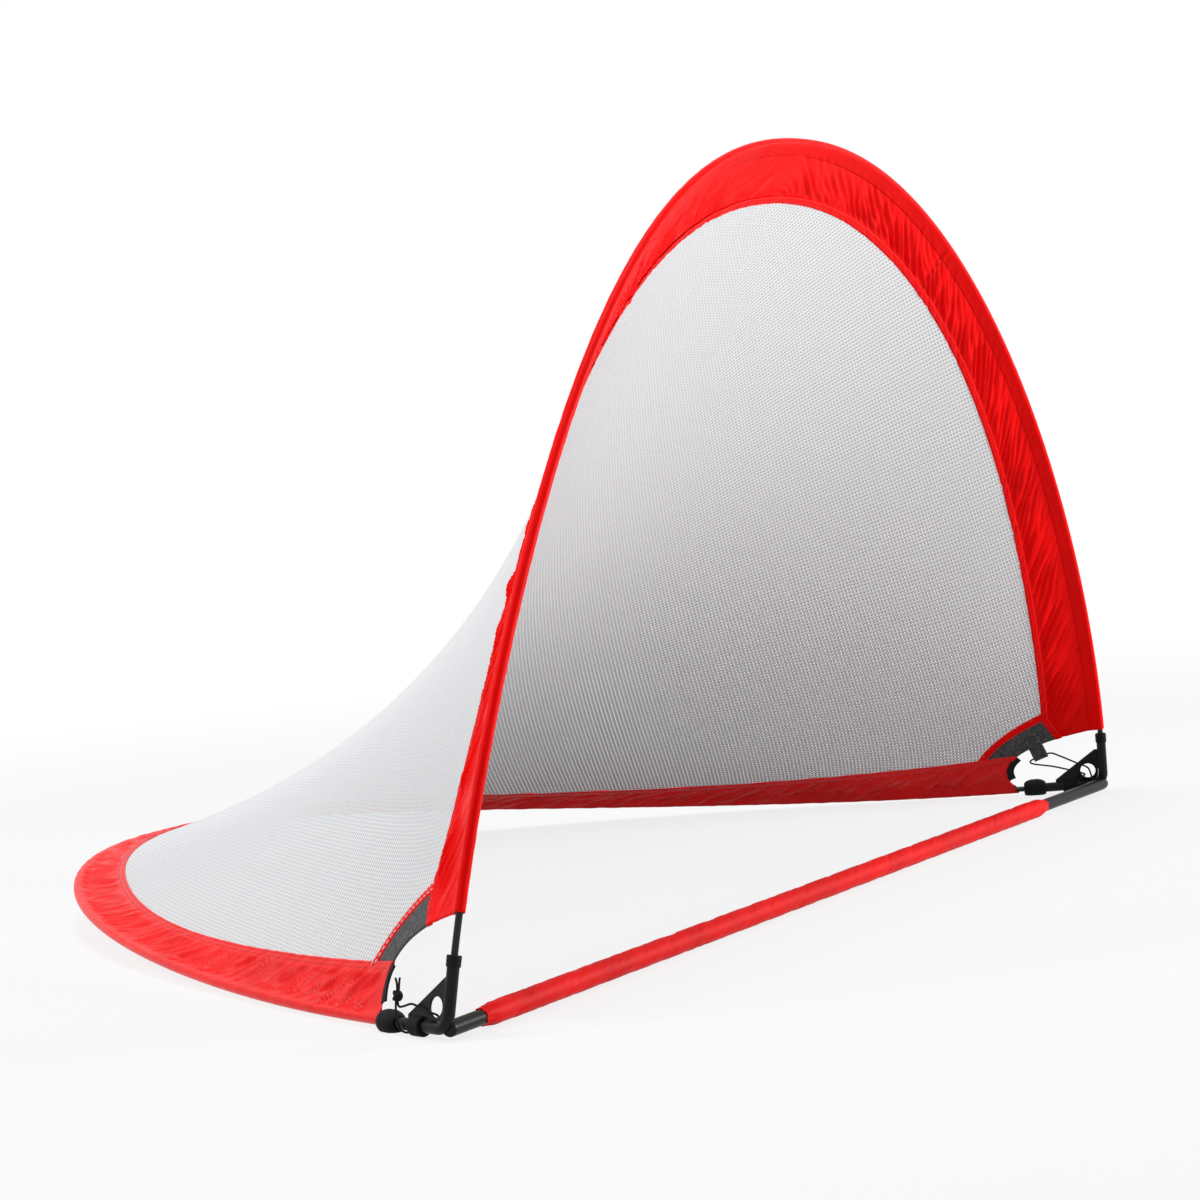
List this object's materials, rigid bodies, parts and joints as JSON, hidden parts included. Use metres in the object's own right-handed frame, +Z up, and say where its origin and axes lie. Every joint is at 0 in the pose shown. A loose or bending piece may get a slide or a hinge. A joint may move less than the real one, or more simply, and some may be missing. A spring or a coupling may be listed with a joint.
{
  "type": "pop-up soccer goal",
  "caption": "Pop-up goal: a sprung front arch and a sprung rear arch in fabric sleeves, a net stretched between them and a padded, weighted base bar with corner sockets.",
  "frame": {"origin": "on the ground under the middle of the base bar, on the bar cover's flat underside", "axes": "+X along the goal line to the right of a player who shoots at it, +Y back into the net, +Z up"},
  "size_m": [1.8438, 1.1494, 0.9841],
  "materials": {
    "red_nylon": "woven, slightly glossy",
    "white_net": "fine open knit, matte",
    "black_webbing": "woven tape, matte",
    "black_elastic": "braided, matte",
    "grey_foam": "closed-cell foam, matte",
    "black_steel": "satin black paint",
    "bare_steel": "bare, drawn",
    "black_rubber": "moulded, matte",
    "black_fibreglass": "smooth pultruded rod"
  },
  "bodies": {
    "base": {"bar_cover": "red_nylon", "bar_pad": "grey_foam", "centre_spigot": "bare_steel", "left_base_tube": "black_steel", "left_weight": "bare_steel", "left_corner_tube": "black_steel", "left_gusset": "black_steel", "left_socket_collar": "black_rubber", "left_floor_grip": "black_rubber", "left_boot": "black_rubber", "left_elastic_cord": "black_elastic", "left_cord_knot": "black_elastic", "left_corner_strap": "black_webbing", "left_net_binding": "red_nylon", "right_base_tube": "black_steel", "right_weight": "bare_steel", "right_corner_tube": "black_steel", "right_gusset": "black_steel", "right_socket_collar": "black_rubber", "right_floor_grip": "black_rubber", "right_boot": "black_rubber", "right_elastic_cord": "black_elastic", "right_cord_knot": "black_elastic", "right_corner_strap": "black_webbing", "right_net_binding": "red_nylon", "right_strap_tab": "black_webbing", "net": "white_net"},
    "front_arch": {"front_rod_right_lower": "black_fibreglass", "front_rod_right_upper": "black_fibreglass", "front_rod_left_upper": "black_fibreglass", "front_rod_left_lower": "black_fibreglass", "front_ferrule_right": "bare_steel", "front_ferrule_top": "bare_steel", "front_ferrule_left": "bare_steel", "front_sleeve": "red_nylon"},
    "rear_arch": {"rear_rod_right_lower": "black_fibreglass", "rear_rod_right_upper": "black_fibreglass", "rear_rod_left_upper": "black_fibreglass", "rear_rod_left_lower": "black_fibreglass", "rear_ferrule_right": "bare_steel", "rear_ferrule_top": "bare_steel", "rear_ferrule_left": "bare_steel", "rear_sleeve": "red_nylon", "left_band_end_patch": "black_webbing", "right_band_end_patch": "black_webbing"}
  },
  "joints": [
    {"name": "front_arch_lift", "type": "slide", "parent": "base", "child": "front_arch", "axis": [0, -0.0803, 0.9968], "range_m": [0, 0.058], "deforming": ["front_rod_right_lower", "front_rod_left_lower"]},
    {"name": "rear_arch_pull", "type": "slide", "parent": "base", "child": "rear_arch", "axis": [0, 1, 0], "range_m": [0, 0.085], "deforming": ["rear_rod_right_lower", "rear_rod_left_lower"]}
  ]
}
